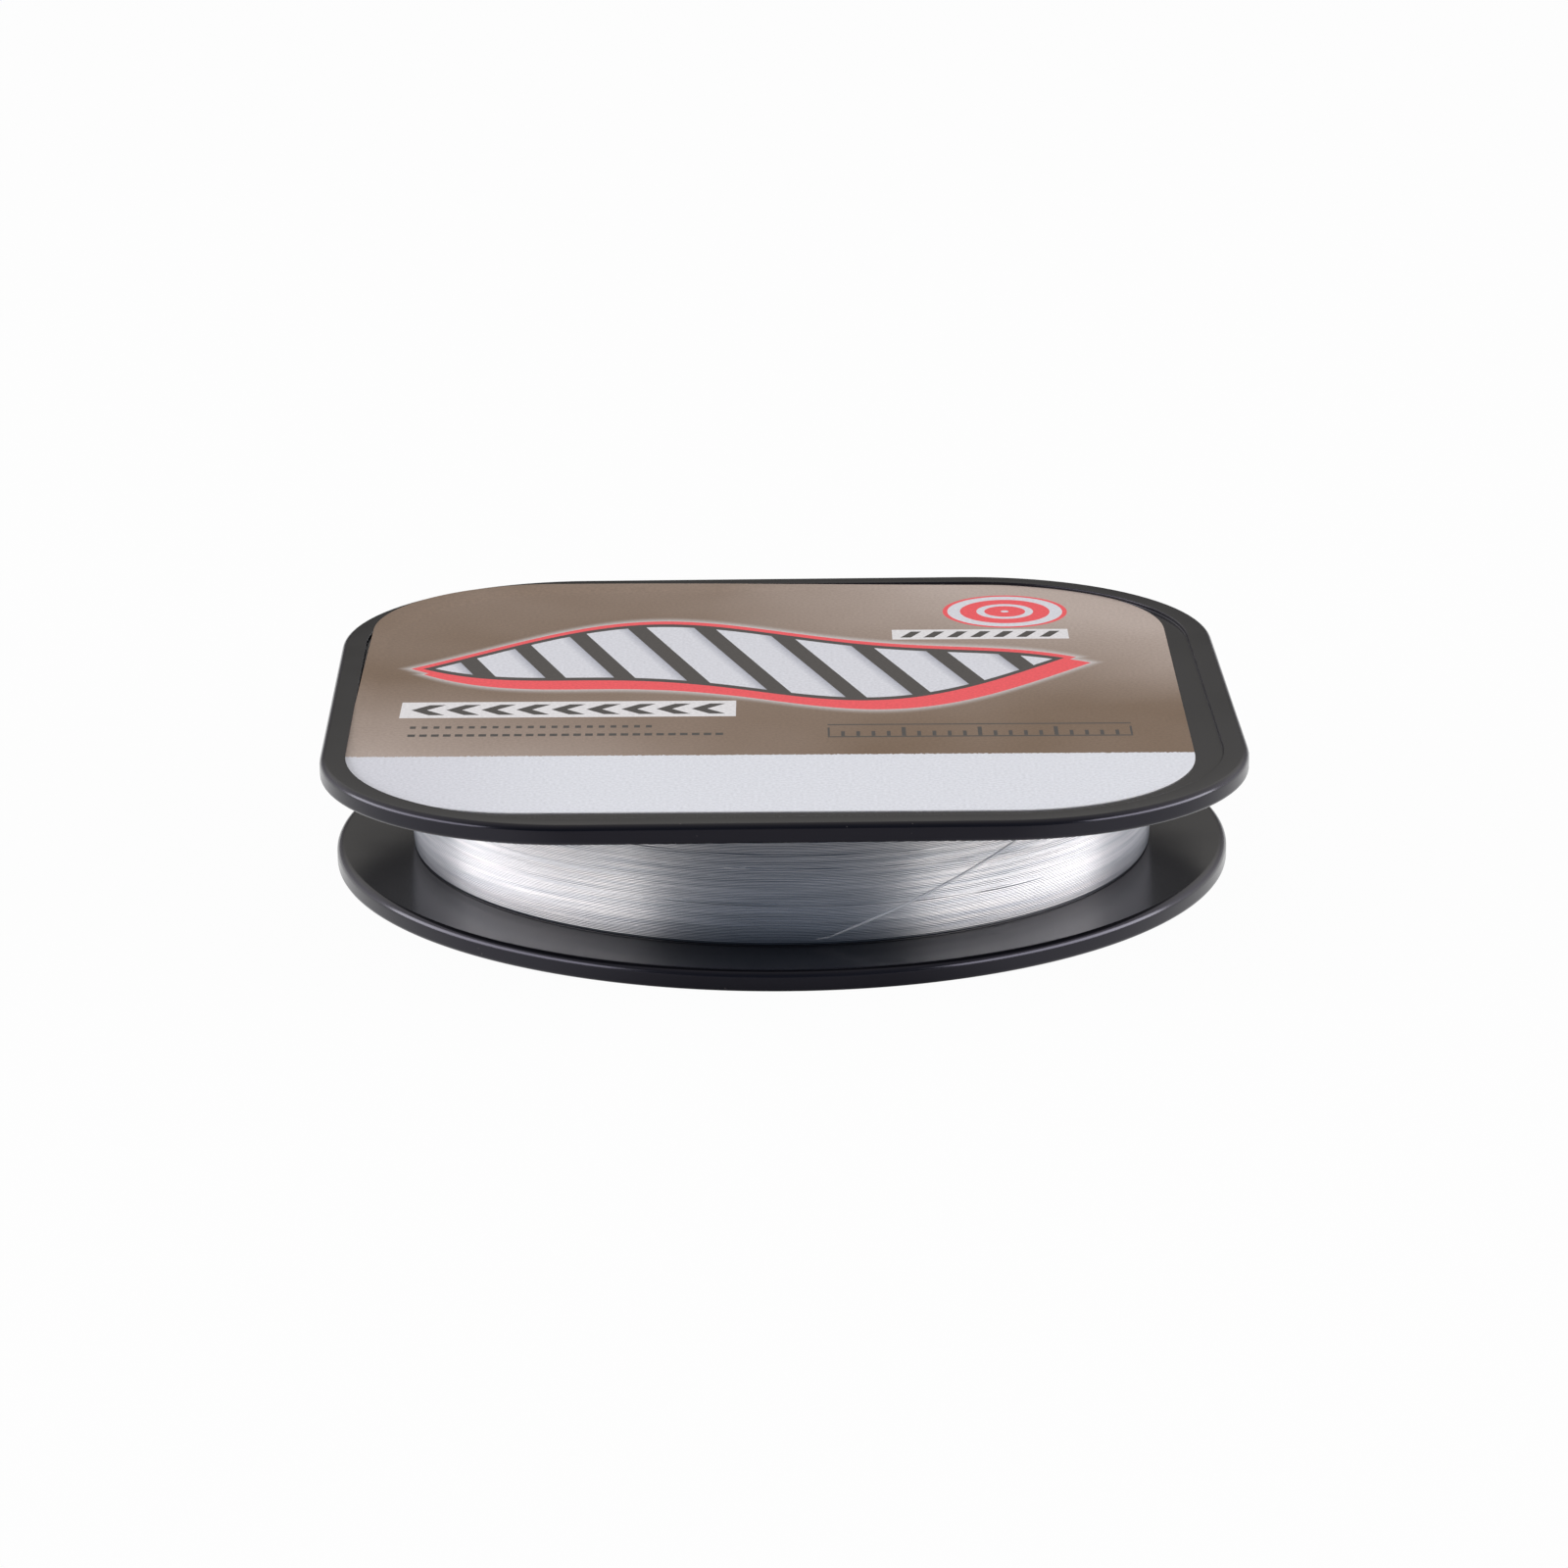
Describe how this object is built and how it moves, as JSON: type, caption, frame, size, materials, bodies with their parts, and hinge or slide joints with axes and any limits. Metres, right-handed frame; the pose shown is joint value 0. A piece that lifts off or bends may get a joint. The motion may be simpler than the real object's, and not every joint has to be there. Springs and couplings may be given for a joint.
{
  "type": "fishing line spool",
  "caption": "Filler spool of clear fishing line: a round half with barrel, ribbed hub and blind spindle bore, plugged to a labelled rounded-square half, line wound between the flanges.",
  "frame": {"origin": "on the spool's axis at the underside of the round flange, the centre of the box's bottom face", "axes": "+Z along the spool's axis from the round flange up to the labelled square flange; -Y is the side that the picture faces, where the label's white band is; +X to the right seen from there"},
  "size_m": [0.1084, 0.1084, 0.0201],
  "materials": {
    "black_styrene": "injection-moulded high-impact styrene, satin to semi-gloss, black",
    "label_paper": "coated self-adhesive label paper, satin print in taupe with a bare white band",
    "clear_line": "clear extruded fluorocarbon monofilament, glossy, silvery where it is wound"
  },
  "bodies": {
    "base": {"round_half": "black_styrene", "line_bed": "clear_line", "outer_turns": "clear_line", "line_tail": "clear_line", "line_start": "clear_line"},
    "face": {"square_half": "black_styrene", "front_label": "label_paper"}
  },
  "joints": [
    {"name": "face_pull", "type": "slide", "parent": "base", "child": "face", "axis": [0, 0, 1], "range_m": [0, 0.0095]}
  ]
}
